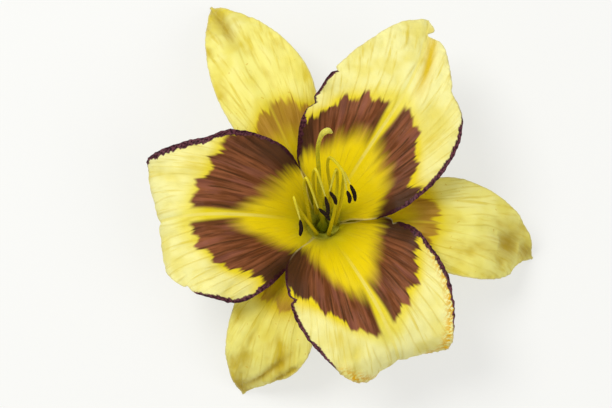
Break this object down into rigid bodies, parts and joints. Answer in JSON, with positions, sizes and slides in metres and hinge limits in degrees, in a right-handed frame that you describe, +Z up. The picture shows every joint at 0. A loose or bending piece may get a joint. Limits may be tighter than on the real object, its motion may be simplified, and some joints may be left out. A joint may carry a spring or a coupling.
{
  "type": "daylily flower",
  "caption": "Open daylily bloom with broad ruffled petals over narrower recurved sepals, on a short floral tube, with curved stamens and a hooked style.",
  "frame": {"origin": "under the middle of the whole flower's box, on the surface that the sepal tips rest on", "axes": "+Z up along the flower's own axis, out of the throat; -Y is the side that a viewer stands on, with +X to their right"},
  "size_m": [0.1388, 0.1466, 0.0835],
  "materials": {
    "petal": "thin soft petal tissue, yellow with a maroon eye zone and a maroon margin",
    "sepal": "thin soft sepal tissue, yellow with ochre tips",
    "tube": "fleshy yellow-green tissue",
    "stalk": "smooth green stalk with a cut end",
    "filament": "smooth moist yellow-green tissue",
    "anther": "dry, dark, slightly grainy",
    "pistil": "smooth moist yellow-green tissue with a paler stigma"
  },
  "bodies": {
    "root": {"pedicel_stub": "stalk", "floral_tube": "tube", "pistil": "pistil", "petal_left": "petal", "petal_upper": "petal", "petal_lower": "petal", "sepal_upper": "sepal", "sepal_right": "sepal", "sepal_lower": "sepal", "filament_1": "filament", "filament_2": "filament", "filament_3": "filament", "filament_4": "filament", "filament_5": "filament", "filament_6": "filament", "anther_1": "anther", "anther_2": "anther", "anther_3": "anther", "anther_4": "anther", "anther_5": "anther", "anther_6": "anther"}
  },
  "joints": []
}
